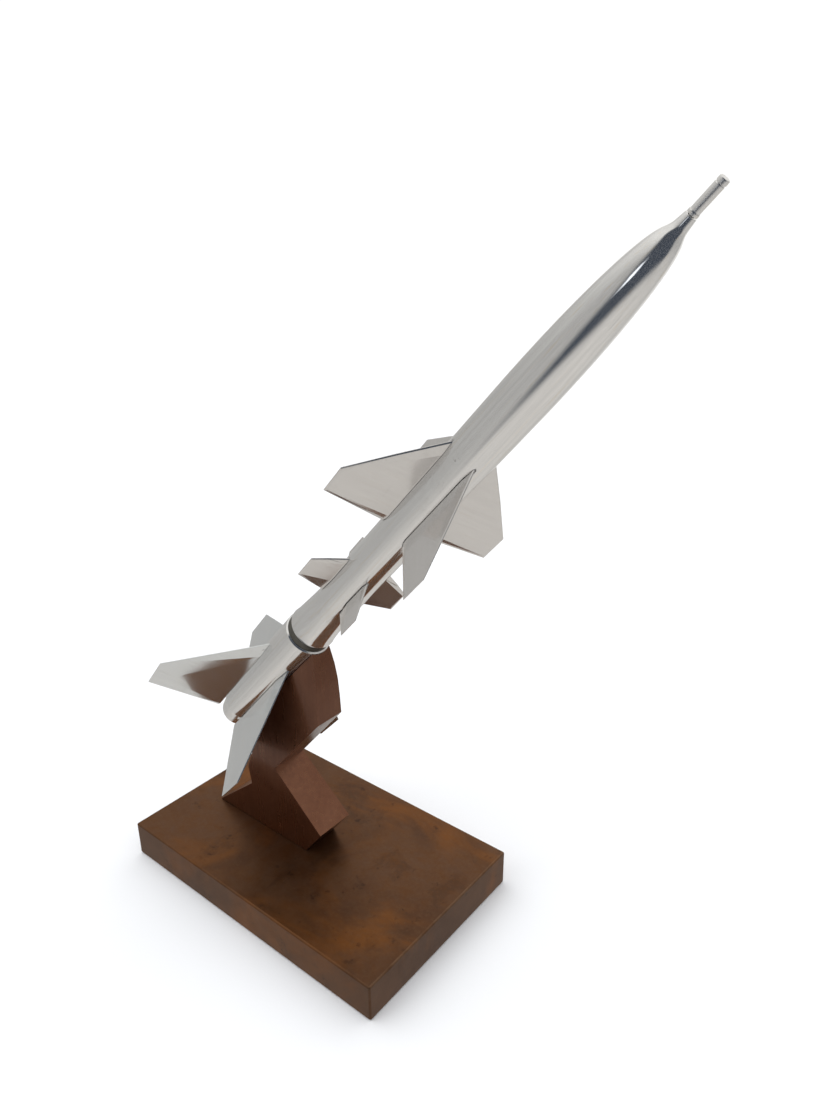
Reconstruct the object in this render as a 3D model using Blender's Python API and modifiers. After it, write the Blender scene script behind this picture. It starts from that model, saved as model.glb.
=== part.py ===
"""Desk model of a two-stage winged rocket, climbing at 48 degrees on a zigzag stand and a rectangular plinth.

Frame: metres, +Z up. The origin is the centre of the plinth's underside, +X runs along the plinth's long side
(the way the nose points) and +Y along its short side. The rocket's axis lies in the plane Y = 0.
"""

import math

import bmesh
import bpy
from mathutils import Matrix, Vector

MM = 0.001
GAP = 0.3  # between pieces that touch, in mm

# Plinth
BASE_LENGTH, BASE_WIDTH, BASE_HEIGHT = 160.0, 100.0, 18.5
BASE_EDGE = 0.9

# Rocket axis: A0 is the station u = 0, and u runs along the axis towards the nose
CLIMB_DEG = 48.04
A0 = (102.56, 0.0, 245.39)

# Sustainer (upper stage), a turned bar
BODY_R = 9.05
FLARE_R, FLARE_START, BODY_REAR = 10.75, -122.0, -143.9
OGIVE_START, OGIVE_LENGTH, OGIVE_POWER = 8.0, 71.5, 0.355
OGIVE_END, NOSE_END, NOSE_END_R = 78.4, 83.5, 1.94

# Nose probe
PROBE_R, PROBE_TIP = 1.65, 95.4

# Joint between the stages, booster (lower stage) and tail
RING_R, RING_FRONT, RING_REAR = 10.3, -144.2, -147.9
TUBE_R, TUBE_FRONT, TUBE_REAR = 10.9, -148.2, -221.0
TAIL_R, TAIL_END_R, TAIL_END = 10.0, 8.0, -233.0
SPIGOT_R = 3.5

# Fins: corners as (u, distance from the axis, half thickness). The outline's corners are at the rim, and the
# ridge's are where the bevels along the edges meet each other or the flat. None is the root, at the body.
WING = {
    "outline": [(-17.0, None, 0.12), (-33.15, 22.35, 0.12), (-49.3, 35.3, 0.12), (-62.8, 35.4, 0.12), (-65.2, None, 0.15)],
    "ridge": [
        (-17.8, None, 0.45), (-33.45, 21.95, 0.42), (-49.6, 34.9, 0.3),
        (-23.9, None, 1.08), (-50.3, 34.05, 0.5), (-61.6, 34.2, 0.5), (-61.0, None, 1.2), (-63.2, None, 0.95),
    ],
    "tenon": (-24.0, -61.5),
}
CONTROL = {
    "outline": [(-92.3, None, 0.15), (-96.55, 15.65, 0.12), (-100.8, 21.9, 0.12), (-113.1, 22.0, 0.12), (-116.6, None, 0.15)],
    "ridge": [
        (-92.8, None, 0.38), (-96.9, 15.35, 0.36), (-101.15, 21.7, 0.3),
        (-95.4, None, 0.9), (-101.8, 21.25, 0.45), (-111.9, 21.1, 0.47), (-113.6, None, 1.0),
    ],
    "tenon": (-96.5, -112.5),
}
BOOSTER = {
    "outline": [(-167.0, None, 0.3), (-212.4, 47.9, 0.3), (-231.6, 47.5, 0.3), (-232.6, None, 0.3)],
    "ridge": [(-177.6, None, 1.35), (-214.6, 35.6, 1.0), (-225.9, 27.0, 1.1), (-229.6, None, 1.35)],
    "tenon": (-172.0, -216.0),
}
TENON_HALF, TENON_BOTTOM = 0.8, 4.3  # half thickness, and how deep the tenon goes below the body's surface

# Stand: side outline (x, z), and its half thickness by height
STAND = [
    (-61.0, 18.8), (3.0, 18.8), (13.8, 33.0), (-16.2, 58.2), (13.8, 93.4), (13.75, 102.5), (13.4, 111.6),
    (12.4, 120.0), (10.4, 128.3), (-26.0, 88.0), (-30.4, 66.0), (-36.2, 50.5), (-34.3, 41.1),
]
STAND_HALF = [(18.8, 10.0), (35.0, 10.0), (58.2, 9.6), (76.0, 8.7), (93.4, 7.8), (111.6, 6.95), (120.0, 6.2), (128.4, 5.2)]
BASE_SCREWS_X = (-38.0, -10.0)
SADDLE_STUDS_U = (-166.0, -190.0)
SIDES = 48


def fresh_scene():
    for obj in list(bpy.data.objects):
        bpy.data.objects.remove(obj, do_unlink=True)
    for name in ("model_rocket", "cutters"):
        old = bpy.data.collections.get(name)
        if old:
            bpy.data.collections.remove(old)
    parts = bpy.data.collections.new("model_rocket")
    cutters = bpy.data.collections.new("cutters")
    bpy.context.scene.collection.children.link(parts)
    bpy.context.scene.collection.children.link(cutters)
    cutters.hide_render = True
    return parts, cutters


PARTS, CUTTERS = fresh_scene()


def material(name, colour, metallic, roughness):
    mat = bpy.data.materials.new(name)
    mat.use_nodes = True
    shader = mat.node_tree.nodes["Principled BSDF"]
    shader.inputs["Base Color"].default_value = (*colour, 1.0)
    shader.inputs["Metallic"].default_value = metallic
    shader.inputs["Roughness"].default_value = roughness
    mat.diffuse_color = (*colour, 1.0)
    return mat


ALUMINIUM = material("polished_aluminium", (0.80, 0.80, 0.80), 1.0, 0.14)
DARK = material("blackened_ring", (0.05, 0.05, 0.052), 0.9, 0.3)
STAND_METAL = material("bronze_stand", (0.075, 0.038, 0.026), 0.8, 0.25)
BASE_METAL = material("bronze_plinth", (0.12, 0.06, 0.03), 0.6, 0.4)
STEEL = material("steel", (0.5, 0.5, 0.52), 1.0, 0.3)


def add(name, mesh, mat, parent=None, cutter=False):
    obj = bpy.data.objects.new(name, mesh)
    (CUTTERS if cutter else PARTS).objects.link(obj)
    if cutter:
        obj.hide_render = True
        obj.display_type = "WIRE"
    elif mat and not mesh.materials:
        mesh.materials.append(mat)
    if parent:
        obj.parent = parent
    return obj


def mesh_from(bm, name):
    bmesh.ops.recalc_face_normals(bm, faces=bm.faces[:])
    mesh = bpy.data.meshes.new(name)
    bm.to_mesh(mesh)
    bm.free()
    return mesh


def turned(name, profile, mat, parent=None, cutter=False, sides=SIDES):
    """A solid of revolution about local Z. The profile is (r, z) in mm, from the top down on the outer side."""
    mesh = bpy.data.meshes.new(name)
    points = [(r * MM, 0.0, z * MM) for r, z in profile]
    mesh.from_pydata(points, [(i, i + 1) for i in range(len(points) - 1)], [])
    obj = add(name, mesh, mat, parent, cutter)
    screw = obj.modifiers.new("Turn", "SCREW")
    screw.axis = "Z"
    screw.steps = screw.render_steps = sides
    screw.use_merge_vertices = True
    screw.merge_threshold = 0.00001
    screw.use_smooth_shade = True
    return obj


def box(name, low, high, mat=None, parent=None, cutter=False):
    bm = bmesh.new()
    bmesh.ops.create_cube(bm, size=1.0)
    for vert in bm.verts:
        vert.co = Vector([(low[i] if vert.co[i] < 0 else high[i]) * MM for i in range(3)])
    return add(name, mesh_from(bm, name), mat, parent, cutter)


def cut(obj, cutter, operation="DIFFERENCE"):
    modifier = obj.modifiers.new("Cut_" + cutter.name, "BOOLEAN")
    modifier.operation = operation
    modifier.solver = "EXACT"
    modifier.object = cutter


def empty(name, matrix):
    obj = bpy.data.objects.new(name, None)
    PARTS.objects.link(obj)
    obj.matrix_world = matrix
    return obj


# The rocket's own frame: local Z along the axis to the nose, local X along world +Y, local Y up and back
tilt = Matrix.Rotation(math.radians(90.0 - CLIMB_DEG), 4, "Y") @ Matrix.Rotation(math.radians(90.0), 4, "Z")
AXIS = empty("rocket_axis", Matrix.Translation(Vector(A0) * MM) @ tilt)


def ogive(u):
    """Radius of the nose at station u."""
    x = (u - OGIVE_START) / OGIVE_LENGTH
    return BODY_R * (1.0 - x * x) ** OGIVE_POWER


def sustainer_profile():
    hole_r, hole_top = SPIGOT_R + GAP, -134.0
    stem_r, stem_bottom = 1.1, 74.0
    stations = [OGIVE_START + (OGIVE_END - OGIVE_START) * math.sin(math.pi / 2 * i / 16) for i in range(16, -1, -1)]
    outer = [(NOSE_END_R - 0.15, NOSE_END), (NOSE_END_R, NOSE_END - 0.2)]
    outer += [(ogive(u), u) for u in stations]
    outer += [(BODY_R, FLARE_START), (FLARE_R - 0.25, BODY_REAR + 0.9), (FLARE_R, BODY_REAR + 0.45), (FLARE_R - 0.2, BODY_REAR)]
    return (
        [(0.0, stem_bottom), (stem_r, stem_bottom), (stem_r, NOSE_END)]
        + outer
        + [(hole_r, BODY_REAR), (hole_r, hole_top), (0.0, hole_top)]
    )


def fin(kind, body_r):
    """A fin in its own frame: X away from the axis, Y through the thickness, Z along the axis."""
    root = body_r + GAP + 0.05
    bm = bmesh.new()
    for u, w, half in kind["outline"] + kind["ridge"]:
        for side in (-1, 1):
            bm.verts.new(((w or root) * MM, side * half * MM, u * MM))
    hull = bmesh.ops.convex_hull(bm, input=bm.verts[:])
    loose = [v for v in hull["geom_interior"] + hull["geom_unused"] if isinstance(v, bmesh.types.BMVert)]
    bmesh.ops.delete(bm, geom=list(set(loose)), context="VERTS")
    bmesh.ops.dissolve_limit(bm, angle_limit=math.radians(0.5), verts=bm.verts[:], edges=bm.edges[:])
    return mesh_from(bm, "fin")


def fin_set(prefix, kind, body, body_r):
    """Four fins, a quarter turn apart and set at 45 degrees, each with a tenon in a milled slot of the body."""
    mesh = fin(kind, body_r)
    front, back = kind["tenon"]
    deep = body_r - TENON_BOTTOM
    made = []
    for where, degrees in (("far_upper", 45), ("near_upper", 135), ("near_lower", 225), ("far_lower", 315)):
        turn = Matrix.Rotation(math.radians(degrees), 4, "Z")
        obj = add(f"{prefix}_{where}", mesh.copy(), ALUMINIUM, AXIS)
        obj.matrix_local = turn
        tenon = box(f"tenon_{prefix}_{where}", (deep, -TENON_HALF, back), (body_r + 2.5, TENON_HALF, front), parent=AXIS, cutter=True)
        tenon.matrix_local = turn
        cut(obj, tenon, "UNION")
        slot = box(
            f"slot_{prefix}_{where}", (deep - GAP, -TENON_HALF - GAP, back - GAP), (body_r + 3.0, TENON_HALF + GAP, front + GAP), parent=AXIS, cutter=True
        )
        slot.matrix_local = turn
        cut(body, slot)
        made.append(obj)
    return made


# ---- sustainer, its wings and control fins ----
sustainer = turned("sustainer_body", sustainer_profile(), ALUMINIUM, AXIS)
fin_set("wing", WING, sustainer, BODY_R)
fin_set("control_fin", CONTROL, sustainer, BODY_R)

turned(
    "nose_probe",
    [
        (0.0, PROBE_TIP), (PROBE_R - 0.35, PROBE_TIP), (PROBE_R, PROBE_TIP - 0.35), (PROBE_R, PROBE_TIP - 1.5),
        (PROBE_R - 0.25, PROBE_TIP - 1.7), (PROBE_R - 0.05, PROBE_TIP - 2.0), (PROBE_R - 0.05, NOSE_END + 1.4),
        (PROBE_R + 0.15, NOSE_END + 1.1), (PROBE_R + 0.15, NOSE_END + GAP), (0.8, NOSE_END + GAP), (0.8, 74.4), (0.0, 74.4),
    ],
    ALUMINIUM,
    AXIS,
    sides=24,
)

# ---- joint between the stages ----
turned(
    "joint_ring",
    [(SPIGOT_R + GAP, RING_FRONT), (RING_R - 0.2, RING_FRONT), (RING_R, RING_FRONT - 0.2), (RING_R, RING_REAR + 0.2), (RING_R - 0.2, RING_REAR),
     (SPIGOT_R + GAP, RING_REAR), (SPIGOT_R + GAP, RING_FRONT)],
    DARK,
    AXIS,
)
turned(
    "joint_spigot",
    [(0.0, -134.5), (SPIGOT_R - 0.4, -134.5), (SPIGOT_R, -134.9), (SPIGOT_R, -157.3), (SPIGOT_R - 0.4, -157.7), (0.0, -157.7)],
    STEEL,
    AXIS,
    sides=24,
)

# ---- booster, its fins and tail ----
hole = SPIGOT_R + GAP
booster = turned(
    "booster_tube",
    [
        (0.0, -158.2), (hole, -158.2), (hole, TUBE_FRONT), (TUBE_R - 0.55, TUBE_FRONT), (TUBE_R, TUBE_FRONT - 0.6),
        (TUBE_R, TUBE_REAR + 0.3), (TUBE_R - 0.3, TUBE_REAR), (4.3, TUBE_REAR), (4.3, TUBE_REAR + 8.3), (0.0, TUBE_REAR + 8.3),
    ],
    ALUMINIUM,
    AXIS,
)
fin_set("booster_fin", BOOSTER, booster, TUBE_R)
turned(
    "tail_collar",
    [
        (0.0, TUBE_REAR + 7.9), (3.6, TUBE_REAR + 7.9), (4.0, TUBE_REAR + 7.5), (4.0, TUBE_REAR - GAP), (TAIL_R - 0.2, TUBE_REAR - GAP),
        (TAIL_R, TUBE_REAR - GAP - 0.2), (TAIL_END_R + 0.25, TAIL_END + 0.4), (TAIL_END_R, TAIL_END), (5.4, TAIL_END),
        (3.4, TAIL_END + 4.5), (0.0, TAIL_END + 4.5),
    ],
    ALUMINIUM,
    AXIS,
)

# ---- stand ----


def half_at(z):
    for (z0, h0), (z1, h1) in zip(STAND_HALF, STAND_HALF[1:]):
        if z <= z1:
            return h0 + (h1 - h0) * max(0.0, z - z0) / (z1 - z0)
    return STAND_HALF[-1][1]


bm = bmesh.new()
face = bm.faces.new([bm.verts.new((x * MM, -0.01, z * MM)) for x, z in STAND])
moved = bmesh.ops.extrude_face_region(bm, geom=[face])
for item in moved["geom"]:
    if isinstance(item, bmesh.types.BMVert):
        item.co.y = 0.01
for z in sorted({z for _, z in STAND} | {z for z, _ in STAND_HALF}):
    bmesh.ops.bisect_plane(bm, geom=bm.verts[:] + bm.edges[:] + bm.faces[:], dist=1e-7, plane_co=(0, 0, z * MM), plane_no=(0, 0, 1))
for vert in bm.verts:
    vert.co.y = math.copysign(half_at(vert.co.z / MM) * MM, vert.co.y)
stand = add("stand", mesh_from(bm, "stand"), STAND_METAL)
rounding = stand.modifiers.new("Edges", "BEVEL")
rounding.width = 0.0006
rounding.segments = 2
rounding.limit_method = "ANGLE"
rounding.angle_limit = math.radians(30)
cradle = turned("cradle", [(0.0, -120.0), (TUBE_R + GAP, -120.0), (TUBE_R + GAP, -240.0), (0.0, -240.0)], None, AXIS, cutter=True, sides=64)
cut(stand, cradle)

# ---- saddle studs, square to the rocket's axis, from the booster down into the stand ----
for number, u in enumerate(SADDLE_STUDS_U, 1):
    down = Matrix.Translation((0.0, 0.0, u * MM)) @ Matrix.Rotation(math.radians(90), 4, "X")
    # local +Z of these pieces points along the rocket frame's -Y, away from the tube and into the stand
    stud = turned(f"saddle_stud_{number}", [(0.0, 22.0), (1.7, 22.0), (2.0, 21.7), (2.0, 5.3), (1.7, 5.0), (0.0, 5.0)], STEEL, AXIS, sides=24)
    stud.matrix_local = down
    for body, name in ((booster, "tube"), (stand, "stand")):
        drill = turned(f"stud_hole_{name}_{number}", [(0.0, 22.5), (2.3, 22.5), (2.3, 4.5), (0.0, 4.5)], None, AXIS, cutter=True, sides=24)
        drill.matrix_local = down
        cut(body, drill)

# ---- plinth ----
bm = bmesh.new()
bmesh.ops.create_cube(bm, size=1.0)
for vert in bm.verts:
    vert.co = Vector((vert.co.x * BASE_LENGTH, vert.co.y * BASE_WIDTH, (vert.co.z + 0.5) * BASE_HEIGHT)) * MM
base = add("base_plate", mesh_from(bm, "base_plate"), BASE_METAL)
rounding = base.modifiers.new("Edges", "BEVEL")
rounding.width = BASE_EDGE * MM
rounding.segments = 3
rounding.limit_method = "ANGLE"

for name, x in zip(("base_screw_rear", "base_screw_front"), BASE_SCREWS_X):
    screw = turned(
        name,
        [(0.0, 30.4), (1.9, 30.4), (2.4, 29.9), (2.4, 3.6), (4.8, 1.2), (4.8, 0.6), (0.0, 0.6)],
        STEEL,
        sides=24,
    )
    screw.location = (x * MM, 0.0, 0.0)
    bm = bmesh.new()
    bmesh.ops.create_cone(bm, cap_ends=True, segments=6, radius1=1.75 * MM, radius2=1.75 * MM, depth=2.4 * MM)
    socket = add("socket_" + name, mesh_from(bm, "socket"), None, cutter=True)
    socket.location = (x * MM, 0.0, 0.9 * MM)
    cut(screw, socket)
    sink = turned("sink_" + name, [(0.0, 31.0), (2.7, 31.0), (2.7, 3.7), (5.1, 1.3), (5.1, -1.0), (0.0, -1.0)], None, cutter=True, sides=24)
    sink.location = (x * MM, 0.0, 0.0)
    cut(base, sink)
    cut(stand, sink)

for obj in PARTS.objects:
    if obj.type == "MESH":
        obj.data.set_sharp_from_angle(angle=math.radians(30))
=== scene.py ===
"""Looks for the desk model of a two-stage winged rocket: polished aluminium rocket, bronze-brown stand and plinth.

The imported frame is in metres, +Z up, with its origin at the centre of the plinth's underside. The rocket's own frame
has Z along its axis towards the nose, and the numbers below in millimetres repeat those of the CAD source.
"""

import math

import bmesh
import bpy
from mathutils import Matrix, Vector


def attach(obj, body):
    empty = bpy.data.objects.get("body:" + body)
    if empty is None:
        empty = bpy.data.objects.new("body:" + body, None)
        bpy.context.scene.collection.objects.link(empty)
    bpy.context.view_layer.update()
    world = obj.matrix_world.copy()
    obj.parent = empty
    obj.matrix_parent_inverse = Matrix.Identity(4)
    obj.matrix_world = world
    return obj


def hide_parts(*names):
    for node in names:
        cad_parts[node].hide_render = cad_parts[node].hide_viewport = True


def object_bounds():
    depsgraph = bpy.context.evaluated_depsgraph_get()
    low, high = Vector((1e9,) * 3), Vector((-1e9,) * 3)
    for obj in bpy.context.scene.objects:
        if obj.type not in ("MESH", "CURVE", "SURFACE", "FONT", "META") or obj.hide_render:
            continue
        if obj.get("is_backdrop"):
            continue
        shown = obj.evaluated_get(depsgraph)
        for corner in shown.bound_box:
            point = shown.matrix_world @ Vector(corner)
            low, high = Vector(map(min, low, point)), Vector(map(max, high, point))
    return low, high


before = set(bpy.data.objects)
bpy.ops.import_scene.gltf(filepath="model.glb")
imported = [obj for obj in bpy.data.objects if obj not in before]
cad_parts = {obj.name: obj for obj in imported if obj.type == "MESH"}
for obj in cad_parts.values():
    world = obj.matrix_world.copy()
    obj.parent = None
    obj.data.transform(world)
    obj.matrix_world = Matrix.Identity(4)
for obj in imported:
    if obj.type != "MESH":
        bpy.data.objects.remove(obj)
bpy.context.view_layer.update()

MM = 0.001
BODY = "root"

CLIMB_DEG = 48.04
A0 = (102.56, 0.0, 245.39)
AXIS = (
    Matrix.Translation(Vector(A0) * MM)
    @ Matrix.Rotation(math.radians(90.0 - CLIMB_DEG), 4, "Y")
    @ Matrix.Rotation(math.radians(90.0), 4, "Z")
)

BODY_R = 9.05
FLARE_R, FLARE_START, BODY_REAR = 10.75, -122.0, -143.9
OGIVE_START, OGIVE_LENGTH, OGIVE_POWER = 8.0, 71.5, 0.355
OGIVE_END, NOSE_END, NOSE_END_R = 78.4, 83.5, 1.94
PROBE_R, PROBE_TIP = 1.65, 95.4
RING_R, RING_FRONT, RING_REAR = 10.3, -144.2, -147.9
TUBE_R, TUBE_FRONT, TUBE_REAR = 10.9, -148.2, -221.0
TAIL_R, TAIL_END_R, TAIL_END = 10.0, 8.0, -233.0

scene = bpy.context.scene
scene.view_settings.view_transform = "Standard"
scene.view_settings.look = "None"
scene.view_settings.exposure = 0.0
scene.view_settings.gamma = 1.0


# ---------------------------------------------------------------- node helpers


def lin(*rgb):
    """Linear colour of sRGB numbers from 0 to 255."""
    rgb = rgb * 3 if len(rgb) == 1 else rgb
    return tuple(((c / 255 + 0.055) / 1.055) ** 2.4 if c > 10.3 else c / 255 / 12.92 for c in rgb)


class Tree:
    def __init__(self, owner):
        self.tree = owner.node_tree
        self.nodes, self.links = self.tree.nodes, self.tree.links

    def node(self, kind, **settings):
        made = self.nodes.new(kind)
        for name, value in settings.items():
            setattr(made, name, value)
        return made

    def put(self, value, socket):
        if hasattr(value, "is_output"):
            self.links.new(value, socket)
        elif value is not None:
            socket.default_value = value

    def math(self, operation, a, b=None, c=None, clamp=False):
        made = self.node("ShaderNodeMath", operation=operation, use_clamp=clamp)
        for value, socket in zip((a, b, c), made.inputs):
            self.put(value, socket)
        return made.outputs[0]

    def spread(self, value, low, high, to_low=0.0, to_high=1.0, smooth=False):
        made = self.node("ShaderNodeMapRange", interpolation_type="SMOOTHSTEP" if smooth else "LINEAR")
        self.put(value, made.inputs["Value"])
        for name, number in (("From Min", low), ("From Max", high), ("To Min", to_low), ("To Max", to_high)):
            self.put(number, made.inputs[name])
        return made.outputs["Result"]

    def mix(self, factor, a, b, blend="MIX"):
        made = self.node("ShaderNodeMix", data_type="RGBA", blend_type=blend)
        self.put(factor, made.inputs[0])
        for value, socket in ((a, made.inputs[6]), (b, made.inputs[7])):
            self.put((*value, 1.0) if isinstance(value, tuple) and len(value) == 3 else value, socket)
        return made.outputs[2]

    def scaled(self, vector, x, y, z, turn=(0.0, 0.0, 0.0)):
        made = self.node("ShaderNodeMapping")
        self.put(vector, made.inputs["Vector"])
        made.inputs["Scale"].default_value = (x, y, z)
        made.inputs["Rotation"].default_value = turn
        return made.outputs[0]

    def noise(self, vector, scale, detail=3.0, rough=0.55, distortion=0.0):
        made = self.node("ShaderNodeTexNoise")
        self.put(vector, made.inputs["Vector"])
        made.inputs["Scale"].default_value = scale
        made.inputs["Detail"].default_value = detail
        made.inputs["Roughness"].default_value = rough
        made.inputs["Distortion"].default_value = distortion
        return made.outputs["Fac"]

    def bump(self, height, strength, distance, before=None):
        made = self.node("ShaderNodeBump")
        self.put(height, made.inputs["Height"])
        made.inputs["Strength"].default_value = strength
        made.inputs["Distance"].default_value = distance
        if before is not None:
            self.links.new(before, made.inputs["Normal"])
        return made.outputs["Normal"]


def new_material(name):
    mat = bpy.data.materials.new(name)
    mat.use_nodes = True
    tree = Tree(mat)
    shader = tree.nodes["Principled BSDF"]
    place = tree.node("ShaderNodeTexCoord").outputs["Object"]
    return mat, tree, shader, place


def aluminium(name, tint=(0.915, 0.91, 0.90), rough=(0.05, 0.13), grain=(1.0, 1.0, 0.02), turn=(0.0, 0.0, 0.0), grain_strength=0.10, wave=0.25, haze=0.02, streaks=1.0):
    """Polished aluminium: the fine lines of the last polish, hairline scratches, a few dull scuffs and faint unevenness."""
    mat, t, shader, place = new_material(name)
    lines = t.noise(t.scaled(place, *[3200 * g for g in grain], turn=turn), 1.0, 4.0, 0.6)
    coarse = t.noise(t.scaled(place, *[620 * g for g in grain], turn=turn), 1.0, 3.0, 0.6)
    uneven = t.noise(place, 55.0, 2.0, 0.5)
    dull = t.noise(place, 34.0, 5.0, 0.62, 0.6)
    scratch_a = t.noise(t.scaled(place, 1100, 1100, 34, turn=(0.16, 0.12, 0.4)), 1.0, 1.0, 0.5)
    scratch_b = t.noise(t.scaled(place, 1300, 1300, 60, turn=(-0.5, 0.42, 0.9)), 1.0, 1.0, 0.5)
    hair = t.math("MAXIMUM", t.spread(scratch_a, 0.745, 0.785, smooth=True), t.spread(scratch_b, 0.765, 0.80, smooth=True))
    nick = t.math("MULTIPLY", t.spread(t.noise(place, 900.0, 3.0, 0.6, 1.5), 0.655, 0.70, smooth=True), t.spread(dull, 0.54, 0.62, smooth=True))
    gold = t.spread(t.noise(t.scaled(place, *[1500 * g for g in grain], turn=turn), 1.0, 2.0, 0.5), 0.60, 0.70, smooth=True)
    patches = t.spread(dull, 0.56, 0.70, smooth=True)
    colour = t.mix(t.spread(coarse, 0.3, 0.7), tint, tuple(c * (1.0 - 0.10 * streaks) for c in tint))
    colour = t.mix(t.math("MULTIPLY", t.spread(lines, 0.54, 0.74), 0.5 * streaks), colour, tuple(c * 0.80 for c in tint))
    colour = t.mix(t.math("MULTIPLY", patches, 0.35), colour, tuple(c * k for c, k in zip(tint, (0.90, 0.885, 0.87))))
    colour = t.mix(t.math("MULTIPLY", gold, 0.45 * streaks), colour, tuple(c * k for c, k in zip(tint, (0.93, 0.85, 0.72))))
    colour = t.mix(t.math("MULTIPLY", hair, 0.22), colour, (0.62, 0.61, 0.60))
    colour = t.mix(t.math("MULTIPLY", nick, 0.70), colour, (0.22, 0.20, 0.19))
    t.put(colour, shader.inputs["Base Color"])
    shader.inputs["Metallic"].default_value = 1.0 - haze
    shader.inputs["Specular IOR Level"].default_value = 0.0
    r = t.spread(lines, 0.3, 0.7, rough[0], rough[1])
    r = t.math("ADD", r, t.math("MULTIPLY", patches, 0.09))
    r = t.math("ADD", r, t.math("MULTIPLY", hair, 0.08), clamp=True)
    t.put(r, shader.inputs["Roughness"])
    normal = t.bump(uneven, wave, 0.00012)
    normal = t.bump(coarse, grain_strength, 0.00004, normal)
    normal = t.bump(lines, grain_strength, 0.000004, normal)
    normal = t.bump(hair, 0.25, -0.00002, normal)
    t.put(normal, shader.inputs["Normal"])
    return mat


def blackened(name):
    mat, t, shader, place = new_material(name)
    grain = t.noise(t.scaled(place, 400, 400, 2600), 1.0, 4.0, 0.6)
    spots = t.noise(place, 500.0, 4.0, 0.6)
    colour = t.mix(t.spread(spots, 0.35, 0.7), (0.130, 0.126, 0.112), (0.175, 0.166, 0.138))
    t.put(colour, shader.inputs["Base Color"])
    shader.inputs["Metallic"].default_value = 0.85
    t.put(t.spread(grain, 0.3, 0.7, 0.42, 0.58), shader.inputs["Roughness"])
    t.put(t.bump(grain, 0.3, 0.00001), shader.inputs["Normal"])
    return mat


def steel(name):
    mat, t, shader, place = new_material(name)
    grain = t.noise(t.scaled(place, 900, 900, 120), 1.0, 4.0, 0.6)
    tarnish = t.noise(place, 160.0, 5.0, 0.6)
    colour = t.mix(t.spread(tarnish, 0.35, 0.75), (0.56, 0.56, 0.57), (0.40, 0.39, 0.38))
    t.put(colour, shader.inputs["Base Color"])
    shader.inputs["Metallic"].default_value = 1.0
    t.put(t.spread(grain, 0.3, 0.7, 0.22, 0.38), shader.inputs["Roughness"])
    t.put(t.bump(grain, 0.25, 0.00001), shader.inputs["Normal"])
    return mat


def lacquered_bronze(name):
    """The stand: dark brown lacquer over bronze, mirror-smooth, with a cloudy brown depth and fine wipe marks."""
    mat, t, shader, place = new_material(name)
    clouds = t.noise(place, 38.0, 5.0, 0.6, 0.5)
    flecks = t.noise(place, 900.0, 3.0, 0.6)
    wipes = t.noise(t.scaled(place, 420, 420, 26, turn=(0.0, 0.5, 0.2)), 1.0, 4.0, 0.6)
    colour = t.mix(t.spread(clouds, 0.32, 0.72), (0.160, 0.060, 0.028), (0.215, 0.092, 0.048))
    colour = t.mix(t.math("MULTIPLY", t.spread(wipes, 0.35, 0.7), 0.35), colour, (0.120, 0.042, 0.024))
    colour = t.mix(t.math("MULTIPLY", t.spread(flecks, 0.62, 0.8), 0.5), colour, (0.26, 0.13, 0.08))
    t.put(colour, shader.inputs["Base Color"])
    shader.inputs["Metallic"].default_value = 0.85
    t.put(t.math("ADD", t.spread(wipes, 0.3, 0.7, 0.20, 0.30), t.math("MULTIPLY", clouds, 0.1)), shader.inputs["Roughness"])
    shader.inputs["Coat Weight"].default_value = 0.4
    shader.inputs["Coat Roughness"].default_value = 0.12
    shader.inputs["Coat IOR"].default_value = 1.38
    t.put(t.bump(t.noise(place, 120.0, 2.0, 0.5), 0.12, 0.0001), shader.inputs["Normal"])
    return mat


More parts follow.
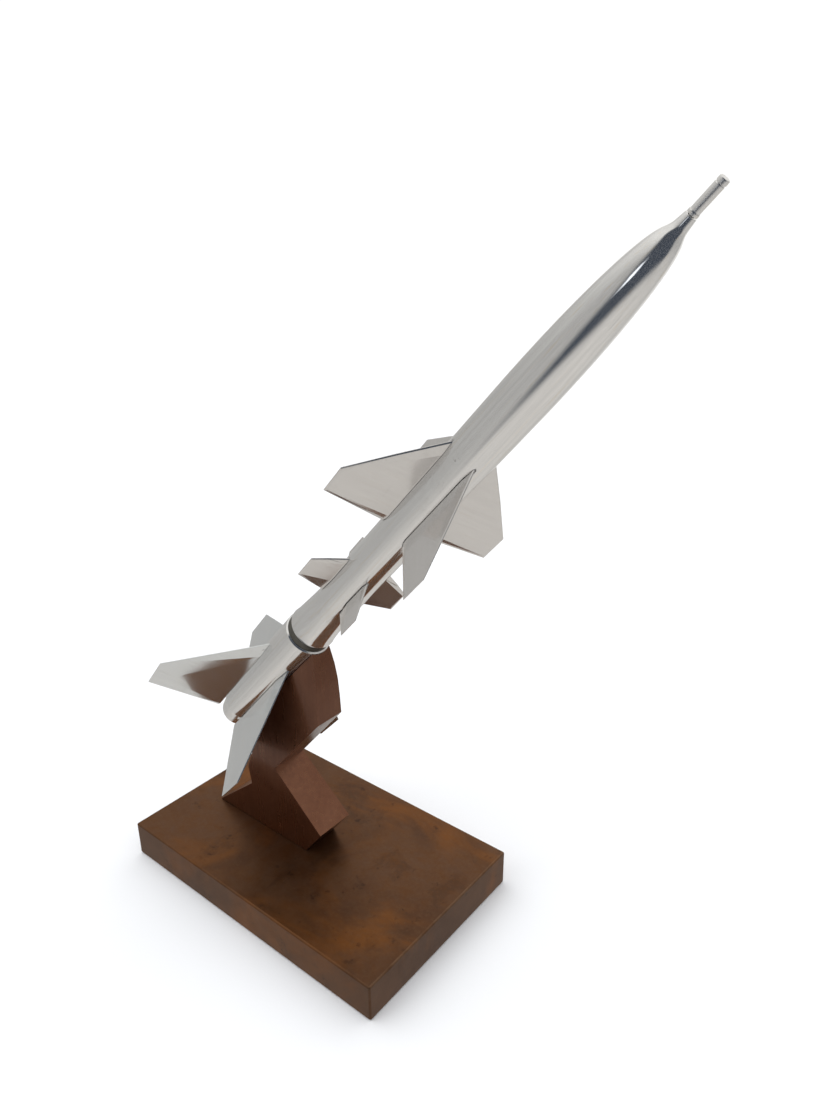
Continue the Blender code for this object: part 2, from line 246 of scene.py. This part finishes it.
def patina(name):
    """The plinth: mottled brown patina on bronze with dark specks, and a painted highlight of lighter brown along its
    edges.
    """
    mat, t, shader, place = new_material(name)
    broad = t.noise(place, 19.0, 4.0, 0.6, 0.9)
    stains = t.noise(place, 46.0, 6.0, 0.66, 0.5)
    mid = t.noise(t.scaled(place, 1.0, 1.25, 1.0), 110.0, 6.0, 0.68, 0.3)
    fine = t.noise(place, 620.0, 4.0, 0.6)
    specks = t.noise(place, 250.0, 3.0, 0.55)
    colour = t.mix(t.spread(mid, 0.34, 0.66), (0.128, 0.053, 0.019), (0.132, 0.066, 0.036))
    colour = t.mix(t.math("MULTIPLY", t.spread(broad, 0.40, 0.66, smooth=True), 0.75), colour, (0.088, 0.040, 0.020))
    glow = t.noise(t.scaled(place, 1.0, 1.4, 1.0), 13.0, 4.0, 0.62, 0.7)
    colour = t.mix(t.math("MULTIPLY", t.spread(glow, 0.47, 0.68, smooth=True), 0.8), colour, (0.215, 0.078, 0.018))
    colour = t.mix(t.math("MULTIPLY", t.spread(fine, 0.45, 0.75), 0.22), colour, (0.19, 0.105, 0.055))
    darker = t.math("MULTIPLY", t.spread(stains, 0.54, 0.66, smooth=True), t.spread(fine, 0.30, 0.55))
    colour = t.mix(t.math("MULTIPLY", darker, 0.34), colour, (0.045, 0.022, 0.013))
    near_stain = t.spread(stains, 0.47, 0.58, smooth=True)
    colour = t.mix(t.math("MULTIPLY", t.math("MULTIPLY", t.spread(specks, 0.59, 0.72, smooth=True), near_stain), 0.42), colour, (0.022, 0.012, 0.009))
    # Painted highlight: the convex edges are made lighter brown, where the bevels would catch the light, broken up by
    # the stain noise.
    edge = t.node("ShaderNodeNewGeometry").outputs["Pointiness"]
    painted_edge_highlight = t.math("MULTIPLY", t.spread(edge, 0.505, 0.56, smooth=True), t.spread(stains, 0.35, 0.62))
    colour = t.mix(t.math("MULTIPLY", painted_edge_highlight, 0.40), colour, (0.26, 0.165, 0.105))
    t.put(colour, shader.inputs["Base Color"])
    shader.inputs["Metallic"].default_value = 0.82
    shader.inputs["Specular IOR Level"].default_value = 0.3
    t.put(t.math("ADD", t.spread(mid, 0.3, 0.7, 0.30, 0.42), t.math("MULTIPLY", fine, 0.08)), shader.inputs["Roughness"])
    normal = t.bump(mid, 0.12, 0.0001)
    normal = t.bump(fine, 0.16, 0.00004, normal)
    t.put(normal, shader.inputs["Normal"])
    return mat


# ---------------------------------------------------------------- mesh helpers


def finish_mesh(bm, name, matrix, mat, slot, *nodes, sharp=None):
    """A piece from bm: smooth shading, its place, its material, the body it rides on and the nodes that it stands for."""
    bmesh.ops.recalc_face_normals(bm, faces=bm.faces[:])
    mesh = bpy.data.meshes.new(name)
    bm.to_mesh(mesh)
    bm.free()
    mesh.polygons.foreach_set("use_smooth", [True] * len(mesh.polygons))
    if sharp:
        mesh.set_sharp_from_angle(angle=math.radians(sharp))
    mesh.materials.append(mat)
    obj = bpy.data.objects.new(name, mesh)
    scene.collection.objects.link(obj)
    obj.matrix_world = matrix
    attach(obj, BODY)
    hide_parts(*nodes)
    return obj


def softened(profile, steps=5):
    """Corners given as (r, z, radius) become arcs of that radius, with a point close by on each side of it."""
    out = []
    count = len(profile)
    for i, corner in enumerate(profile):
        here = Vector(corner[:2])
        radius = corner[2] if len(corner) > 2 else 0.0
        if radius <= 0 or i in (0, count - 1):
            out.append(here)
            continue
        before, after = Vector(profile[i - 1][:2]), Vector(profile[i + 1][:2])
        to_before, to_after = (before - here), (after - here)
        inside = to_before.angle(to_after)
        reach = min(radius / math.tan(inside / 2), 0.48 * to_before.length, 0.48 * to_after.length)
        start, end = here + to_before.normalized() * reach, here + to_after.normalized() * reach
        near = min(0.3 * reach, 0.06)
        out.append(start + to_before.normalized() * near)
        for k in range(steps + 1):
            s = k / steps
            out.append(start * (1 - s) ** 2 + here * 2 * s * (1 - s) + end * s**2)
        out.append(end + to_after.normalized() * near)
    return out


def dense(points, longest=2.0):
    out = [points[0]]
    for a, b in zip(points, points[1:]):
        pieces = max(1, math.ceil((b - a).length / longest))
        out += [a.lerp(b, k / pieces) for k in range(1, pieces + 1)]
    return out


def lathe(profile, sides=128, closed=False, longest=2.0):
    """A solid of revolution about Z from (r, z) points in mm. It closes on the axis, or round on itself if closed."""
    points = dense([Vector(p) for p in profile], longest)
    if closed:
        points = points[:-1]
    bm = bmesh.new()
    rings = []
    for p in points:
        if p.x < 1e-6:
            rings.append([bm.verts.new((0, 0, p.y * MM))] * sides)
        else:
            rings.append(
                [
                    bm.verts.new((p.x * math.cos(2 * math.pi * k / sides) * MM, p.x * math.sin(2 * math.pi * k / sides) * MM, p.y * MM))
                    for k in range(sides)
                ]
            )
    pairs = list(zip(rings, rings[1:] + (rings[:1] if closed else [])))
    for a, b in pairs[: None if closed else len(rings) - 1]:
        for k in range(sides):
            j = (k + 1) % sides
            corners = list(dict.fromkeys((a[k], a[j], b[j], b[k])))
            if len(corners) > 2:
                bm.faces.new(corners)
    return bm


def edge_bevel(obj, width, segments=3, angle=25):
    bevel = obj.modifiers.new("Edges", "BEVEL")
    bevel.width = width * MM
    bevel.segments = segments
    bevel.limit_method = "ANGLE"
    bevel.angle_limit = math.radians(angle)
    bevel.harden_normals = True
    bevel.miter_outer = "MITER_ARC"
    return obj


# ---------------------------------------------------------------- materials

BODY_METAL = aluminium("aluminium_turned", grain=(1.0, 1.0, 0.012), grain_strength=0.45, wave=0.14, haze=0.035)
FIN_METAL = aluminium(
    "aluminium_ground", tint=(0.815, 0.795, 0.775), grain=(0.02, 1.0, 1.0), turn=(0.0, 0.15, 0.0), rough=(0.11, 0.21), grain_strength=0.06, wave=0.20, haze=0.06, streaks=0.35
)
BOOSTER_FIN_METAL = aluminium(
    "aluminium_ground_plain", tint=(0.850, 0.868, 0.872), grain=(0.02, 1.0, 1.0), turn=(0.0, 0.15, 0.0), rough=(0.09, 0.18), grain_strength=0.06, wave=0.18, haze=0.05, streaks=0.45
)
PROBE_METAL = aluminium("aluminium_probe", grain=(1.0, 1.0, 0.03), rough=(0.26, 0.36), grain_strength=0.2, wave=0.10, haze=0.04)
RING_METAL = blackened("blackened_metal")
PIN_METAL = steel("plain_steel")
STAND_METAL = lacquered_bronze("lacquered_bronze")
BASE_METAL = patina("bronze_patina")

# ---------------------------------------------------------------- sustainer


def ogive(u):
    x = (u - OGIVE_START) / OGIVE_LENGTH
    return BODY_R * (1.0 - x * x) ** OGIVE_POWER


def nose(u):
    """Radius of the nose, with the short neck behind the probe run smoothly into it."""

    def sharp(v):
        if v <= OGIVE_END:
            return ogive(max(v, OGIVE_START))
        return ogive(OGIVE_END) + (NOSE_END_R - ogive(OGIVE_END)) * min(1.0, (v - OGIVE_END) / (NOSE_END - OGIVE_END))

    reach = 1.9 * max(0.0, min(1.0, (u - 72.0) / 4.0, (83.2 - u) / 3.0))
    weights = [(k / 6, 1.0 - (k / 6) ** 2 * 0.9) for k in range(-6, 7)]
    return sum(sharp(u + reach * k) * w for k, w in weights) / sum(w for _, w in weights)


def sustainer():
    stations = [83.1, 82.6, 82.0, 81.4, 80.8, 80.2, 79.6, 79.0, 78.5, 78.0, 77.5, 77.0, 76.5, 76.0, 75.4, 74.7, 74.0, 73.2, 72.3]
    stations += [OGIVE_START + (71.5 - OGIVE_START) * math.sin(math.pi / 2 * i / 38) for i in range(38, -1, -1)]
    flare = []
    for k in range(0, 13):
        s = k / 12
        flare.append((BODY_R + (FLARE_R - 0.25 - BODY_R) * (0.82 * s + 0.18 * s * s), FLARE_START + (BODY_REAR + 0.9 - FLARE_START) * s))
    profile = (
        [(0.0, 74.0), (1.1, 74.0), (1.1, NOSE_END - 0.1, 0.05), (NOSE_END_R, NOSE_END, 0.22)]
        + [(nose(u), u) for u in stations]
        + flare[:-1]
        + [(FLARE_R - 0.12, BODY_REAR + 0.75, 0.25), (FLARE_R, BODY_REAR + 0.4, 0.12), (FLARE_R - 0.2, BODY_REAR, 0.1)]
        + [(3.8, BODY_REAR, 0.1), (3.8, -134.0), (0.0, -134.0)]
    )
    return lathe(softened(profile), sides=144)


sustainer_piece = finish_mesh(sustainer(), "sustainer_body_polished", AXIS, BODY_METAL, "polished_aluminium", "sustainer_body", sharp=50)

probe = softened(
    [
        (0.0, PROBE_TIP), (PROBE_R - 0.05, PROBE_TIP, 0.45), (PROBE_R, PROBE_TIP - 1.5, 0.1), (PROBE_R - 0.3, PROBE_TIP - 1.72, 0.1),
        (PROBE_R - 0.05, PROBE_TIP - 2.05, 0.1), (PROBE_R - 0.05, NOSE_END + 1.5, 0.1), (PROBE_R + 0.15, NOSE_END + 1.1, 0.12),
        (PROBE_R + 0.15, NOSE_END + 0.3, 0.12), (0.8, NOSE_END + 0.3), (0.8, 74.4), (0.0, 74.4),
    ],
    4,
)
finish_mesh(lathe(probe, sides=48, longest=1.0), "nose_probe_polished", AXIS, PROBE_METAL, "polished_aluminium", "nose_probe", sharp=50)

# ---------------------------------------------------------------- joint, booster, tail

ring = softened(
    [(3.8, RING_FRONT), (RING_R, RING_FRONT, 0.25), (RING_R, RING_REAR, 0.25), (3.8, RING_REAR, 0.05), (3.8, RING_FRONT + 0.001)], 4
)
finish_mesh(lathe(ring, sides=128, closed=True, longest=0.8), "joint_ring_blackened", AXIS, RING_METAL, "blackened_ring", "joint_ring", sharp=50)

tube = softened(
    [
        (0.0, -158.2), (3.8, -158.2), (3.8, TUBE_FRONT, 0.1), (TUBE_R - 0.6, TUBE_FRONT, 0.1), (TUBE_R, TUBE_FRONT - 0.65, 0.3),
        (TUBE_R, TUBE_REAR, 0.35), (4.3, TUBE_REAR, 0.1), (4.3, TUBE_REAR + 8.3), (0.0, TUBE_REAR + 8.3),
    ]
)
tube_piece = finish_mesh(lathe(tube, sides=144), "booster_tube_polished", AXIS, BODY_METAL, "polished_aluminium", "booster_tube", sharp=50)

collar = softened(
    [
        (0.0, TUBE_REAR + 7.9), (3.6, TUBE_REAR + 7.9, 0.1), (4.0, TUBE_REAR + 7.5), (4.0, TUBE_REAR - 0.3, 0.05), (TAIL_R, TUBE_REAR - 0.3, 0.25),
        (TAIL_END_R, TAIL_END, 0.4), (5.4, TAIL_END, 0.3), (3.4, TAIL_END + 4.5, 0.3), (0.0, TAIL_END + 4.5),
    ]
)
finish_mesh(lathe(collar, sides=128), "tail_collar_polished", AXIS, BODY_METAL, "polished_aluminium", "tail_collar", sharp=50)

# ---------------------------------------------------------------- fins

WING = [
    (-17.0, None, 0.12), (-33.15, 22.35, 0.12), (-49.3, 35.3, 0.12), (-62.8, 35.4, 0.12), (-65.2, None, 0.15),
    (-17.8, None, 0.45), (-33.45, 21.95, 0.42), (-49.6, 34.9, 0.3),
    (-23.9, None, 1.08), (-50.3, 34.05, 0.5), (-61.6, 34.2, 0.5), (-61.0, None, 1.2), (-63.2, None, 0.95),
]
CONTROL = [
    (-92.3, None, 0.15), (-96.55, 15.65, 0.12), (-100.8, 21.9, 0.12), (-113.1, 22.0, 0.12), (-116.6, None, 0.15),
    (-92.8, None, 0.38), (-96.9, 15.35, 0.36), (-101.15, 21.7, 0.3),
    (-95.4, None, 0.9), (-101.8, 21.25, 0.45), (-111.9, 21.1, 0.40), (-108.4, None, 1.0),
]
BOOSTER = [
    (-167.0, None, 0.3), (-212.4, 47.9, 0.3), (-231.6, 47.5, 0.3), (-232.6, None, 0.3),
    (-177.6, None, 1.35), (-214.6, 35.6, 1.0), (-225.9, 27.0, 1.1), (-229.6, None, 1.35),
]


TENONS = {"wing": (-24.0, -61.5), "control_fin": (-96.5, -110.0), "booster_fin": (-172.0, -216.0)}
TENON_HALF, TENON_DEPTH = 0.8, 4.3
CORNERS = (("far_upper", 45), ("near_upper", 135), ("near_lower", 225), ("far_lower", 315))


def hull_of(points):
    bm = bmesh.new()
    for p in points:
        bm.verts.new(Vector(p) * MM)
    hull = bmesh.ops.convex_hull(bm, input=bm.verts[:])
    loose = [v for v in hull["geom_interior"] + hull["geom_unused"] if isinstance(v, bmesh.types.BMVert)]
    bmesh.ops.delete(bm, geom=list(set(loose)), context="VERTS")
    return bm


def fin(points, body_r, tenon):
    """A fin in its own frame, X away from the axis, Y through the thickness and Z along the axis, with its tenon."""
    root = body_r - 0.35
    bm = hull_of([(w or root, side * half, u) for u, w, half in points for side in (-1, 1)])
    bmesh.ops.dissolve_limit(bm, angle_limit=math.radians(0.5), verts=bm.verts[:], edges=bm.edges[:])
    made = bmesh.ops.create_cube(bm, size=1.0)["verts"]
    for vert in made:
        vert.co = Vector(
            (
                (body_r - TENON_DEPTH if vert.co.x < 0 else body_r + 1.0) * MM,
                math.copysign(TENON_HALF, vert.co.y) * MM,
                (tenon[1] if vert.co.z < 0 else tenon[0]) * MM,
            )
        )
    return bm


def applied(obj):
    """obj's modifiers made part of its mesh."""
    bpy.context.view_layer.update()
    made = bpy.data.meshes.new_from_object(obj.evaluated_get(bpy.context.evaluated_depsgraph_get()))
    obj.modifiers.clear()
    obj.data = made
    made.set_sharp_from_angle(angle=math.radians(50))
    return obj


def seat(body, points, body_r, depth=1.3, clear=0.16):
    """The fine seam round each fin's root: a shallow groove in the body, a little wider than the fin."""
    roots = [(u, half) for u, w, half in points if w is None]
    front, back = max(u for u, _ in roots) + 0.25, min(u for u, _ in roots) - 0.25
    outline = [(u, half + clear) for u, half in roots] + [(front, 0.12), (back, 0.12)]
    cutters = []
    for _, degrees in CORNERS:
        bm = hull_of([(r, side * half, u) for u, half in outline for side in (-1, 1) for r in (body_r - depth, body_r + 2.0)])
        bmesh.ops.recalc_face_normals(bm, faces=bm.faces[:])
        mesh = bpy.data.meshes.new("seat_cutter")
        bm.to_mesh(mesh)
        bm.free()
        cutter = bpy.data.objects.new("seat_cutter", mesh)
        scene.collection.objects.link(cutter)
        cutter.matrix_world = AXIS @ Matrix.Rotation(math.radians(degrees), 4, "Z")
        cut = body.modifiers.new("Seat", "BOOLEAN")
        cut.operation, cut.solver, cut.object = "DIFFERENCE", "EXACT", cutter
        cutters.append(cutter)
    applied(body)
    for cutter in cutters:
        bpy.data.objects.remove(cutter, do_unlink=True)


seat(sustainer_piece, WING, BODY_R, clear=0.22)
seat(sustainer_piece, CONTROL, BODY_R, clear=0.32)
seat(tube_piece, BOOSTER, TUBE_R, clear=0.24)

for prefix, points, body_r in (("wing", WING, BODY_R), ("control_fin", CONTROL, BODY_R), ("booster_fin", BOOSTER, TUBE_R)):
    for where, degrees in CORNERS:
        name = f"{prefix}_{where}"
        matrix = AXIS @ Matrix.Rotation(math.radians(degrees), 4, "Z")
        metal = BOOSTER_FIN_METAL if prefix == "booster_fin" else FIN_METAL
        made = finish_mesh(fin(points, body_r, TENONS[prefix]), name + "_polished", matrix, metal, "polished_aluminium", name)
        edge_bevel(made, 0.10, 2, 2.0)

# ---------------------------------------------------------------- stand

STAND = [
    (-61.0, 18.8), (3.0, 18.8), (13.8, 33.0), (-16.2, 58.2), (13.8, 93.4), (13.75, 102.5), (13.4, 111.6),
    (12.4, 120.0), (10.4, 128.3), (-26.0, 88.0), (-30.4, 66.0), (-36.2, 50.5), (-34.3, 41.1),
]
STAND_HALF = [(18.8, 10.0), (35.0, 10.0), (58.2, 9.6), (76.0, 8.7), (93.4, 7.8), (111.6, 6.95), (120.0, 6.2), (128.4, 5.2)]


def half_at(z):
    for (z0, h0), (z1, h1) in zip(STAND_HALF, STAND_HALF[1:]):
        if z <= z1:
            return h0 + (h1 - h0) * max(0.0, z - z0) / (z1 - z0)
    return STAND_HALF[-1][1]


def half_smooth(z):
    return sum(half_at(z + d) * w for d, w in ((-8, 0.1), (-4, 0.2), (0, 0.4), (4, 0.2), (8, 0.1)))


def stand_block():
    bm = bmesh.new()
    face = bm.faces.new([bm.verts.new((x * MM, -0.01, z * MM)) for x, z in STAND])
    moved = bmesh.ops.extrude_face_region(bm, geom=[face])
    for item in moved["geom"]:
        if isinstance(item, bmesh.types.BMVert):
            item.co.y = 0.01
    for z in sorted({z for _, z in STAND} | {20.0 + 3.0 * k for k in range(36)}):
        bmesh.ops.bisect_plane(bm, geom=bm.verts[:] + bm.edges[:] + bm.faces[:], dist=1e-7, plane_co=(0, 0, z * MM), plane_no=(0, 0, 1))
    for vert in bm.verts:
        vert.co.y = math.copysign(min(half_smooth(vert.co.z / MM), half_at(vert.co.z / MM) + 0.1) * MM, vert.co.y)
    return bm


stand = finish_mesh(stand_block(), "stand_lacquered", Matrix.Identity(4), STAND_METAL, "bronze_stand", "stand")

cutter_mesh = bpy.data.meshes.new("cradle_cutter")
cutter_bm = lathe([(0.0, -120.0), (TUBE_R + 0.15, -120.0), (TUBE_R + 0.15, -240.0), (0.0, -240.0)], sides=160, longest=200.0)
bmesh.ops.recalc_face_normals(cutter_bm, faces=cutter_bm.faces[:])
cutter_bm.to_mesh(cutter_mesh)
cutter_bm.free()
cutter = bpy.data.objects.new("cradle_cutter", cutter_mesh)
scene.collection.objects.link(cutter)
cutter.matrix_world = AXIS
cut = stand.modifiers.new("Cradle", "BOOLEAN")
cut.operation, cut.solver, cut.object = "DIFFERENCE", "EXACT", cutter
bpy.context.view_layer.update()
cut_mesh = bpy.data.meshes.new_from_object(stand.evaluated_get(bpy.context.evaluated_depsgraph_get()))
stand.modifiers.clear()
stand.data = cut_mesh
bpy.data.objects.remove(cutter, do_unlink=True)
edge_bevel(stand, 0.7, 4, 28)

# ---------------------------------------------------------------- plinth

bm = bmesh.new()
bmesh.ops.create_cube(bm, size=1.0)
for vert in bm.verts:
    vert.co = Vector((vert.co.x * 160.0, vert.co.y * 100.0, (vert.co.z + 0.5) * 18.5)) * MM
for axis, count, length in ((0, 15, 160.0), (1, 9, 100.0)):
    for k in range(1, count + 1):
        where = Vector((0, 0, 0))
        where[axis] = (k / (count + 1) - 0.5) * length * MM
        normal = Vector((0, 0, 0))
        normal[axis] = 1
        bmesh.ops.bisect_plane(bm, geom=bm.verts[:] + bm.edges[:] + bm.faces[:], dist=1e-7, plane_co=where, plane_no=normal)
plinth = finish_mesh(bm, "plinth_patinated", Matrix.Identity(4), BASE_METAL, "bronze_plinth", "base_plate")
edge_bevel(plinth, 0.95, 5, 30)

# ---------------------------------------------------------------- pieces kept from the CAD

for name in ("joint_spigot", "saddle_stud_1", "saddle_stud_2", "base_screw_front", "base_screw_rear"):
    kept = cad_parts[name]
    for place in kept.material_slots:
        place.material = PIN_METAL

# ---------------------------------------------------------------- floor, light and camera

bm = bmesh.new()
bmesh.ops.create_circle(bm, cap_ends=True, segments=96, radius=6.0)
mesh = bpy.data.meshes.new("floor")
bm.to_mesh(mesh)
bm.free()
floor = bpy.data.objects.new("floor", mesh)
scene.collection.objects.link(floor)
floor.location.z = -0.0002
floor.visible_glossy = False
floor_mat, t, shader, place = new_material("floor_paper")
t.put(t.mix(t.noise(place, 900.0, 4.0, 0.6), lin(244, 246, 250), lin(247, 249, 253)), shader.inputs["Base Color"])
t.put(t.spread(t.noise(place, 500.0), 0.3, 0.7, 0.75, 0.85), shader.inputs["Roughness"])
t.put(t.bump(t.noise(place, 1500.0), 0.05, 0.0001), shader.inputs["Normal"])
shader.inputs["Specular IOR Level"].default_value = 0.2
mesh.materials.append(floor_mat)
floor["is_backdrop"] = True

# A plain light tent, pale above and below and greyer level with the model, with a soft bright side panel, a dark flag towards
# the front and one small softbox in front of it.
world = bpy.data.worlds.new("light_tent")
world.use_nodes = True
scene.world = world
t = Tree(world)
t.nodes.clear()
output = t.node("ShaderNodeOutputWorld")
background = t.node("ShaderNodeBackground")
t.links.new(background.outputs[0], output.inputs["Surface"])
direction = t.node("ShaderNodeTexCoord").outputs["Generated"]
split = t.node("ShaderNodeSeparateXYZ")
t.links.new(direction, split.inputs[0])
x, y, z = split.outputs
around = t.math("FRACT", t.math("ADD", t.math("DIVIDE", t.math("ARCTAN2", y, x), 2 * math.pi), 1.0))
height = t.math("DIVIDE", t.math("ARCSINE", z), math.pi / 180)
low, level, high = lin(200, 197, 193), lin(168, 167, 165), lin(224, 223, 220)
light = t.mix(t.spread(height, -62, -12, smooth=True), low, level)
light = t.mix(t.spread(height, 8, 50, smooth=True), light, high)


def panel(west, east, bottom, top, edge):
    """How much of a soft-edged panel of the tent a direction meets, from azimuth west to east and elevation bottom to top."""
    across = t.math("MULTIPLY", t.spread(around, (west - edge) / 360, (west + edge) / 360, smooth=True), t.spread(around, (east + edge) / 360, (east - edge) / 360, smooth=True))
    up = t.math("MULTIPLY", t.spread(height, bottom - edge, bottom + edge, smooth=True), t.spread(height, top + edge, top - edge, smooth=True))
    return t.math("MULTIPLY", across, up)


light = t.mix(panel(65, 135, -28, 60, 12), light, lin(232, 230, 227))
light = t.mix(panel(260, 344, -38, 56, 10), light, lin(60, 66, 76))
light = t.mix(panel(266, 273, -9, 1, 2.5), light, (1.35, 1.42, 1.52))

seen = t.node("ShaderNodeLightPath").outputs["Is Camera Ray"]
t.links.new(t.mix(seen, light, (0.985, 0.985, 0.985)), background.inputs["Color"])
background.inputs["Strength"].default_value = 1.08


def soft_light(name, towards, strength, angle):
    """A distant light as wide as a big diffuser, so the floor is evenly lit and the shadows are soft."""
    data = bpy.data.lights.new(name, "SUN")
    data.energy, data.angle = strength, math.radians(angle)
    obj = bpy.data.objects.new(name, data)
    scene.collection.objects.link(obj)
    obj.rotation_mode = "QUATERNION"
    obj.rotation_quaternion = Vector(towards).to_track_quat("-Z", "Y")
    obj.visible_glossy = False
    return obj


soft_light("soft_key", (0.45, 0.35, -1.0), 1.4, 75)
soft_light("soft_fill", (-0.5, -0.35, -1.0), 0.65, 95)

camera_data = bpy.data.cameras.new("camera")
camera_data.lens, camera_data.sensor_width, camera_data.sensor_fit = 27.252, 36.0, "AUTO"
camera_data.clip_start, camera_data.clip_end = 0.01, 50.0
camera = bpy.data.objects.new("camera", camera_data)
scene.collection.objects.link(camera)
across, up, back = Vector((0.7805, 0.6251, -0.0047)), Vector((-0.229, 0.2929, 0.9283)), Vector((0.5817, -0.7235, 0.3717))
camera.matrix_world = Matrix.Translation((0.2498, -0.2311, 0.3073)) @ Matrix((across, up, back)).transposed().to_4x4()
scene.camera = camera

low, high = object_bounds()
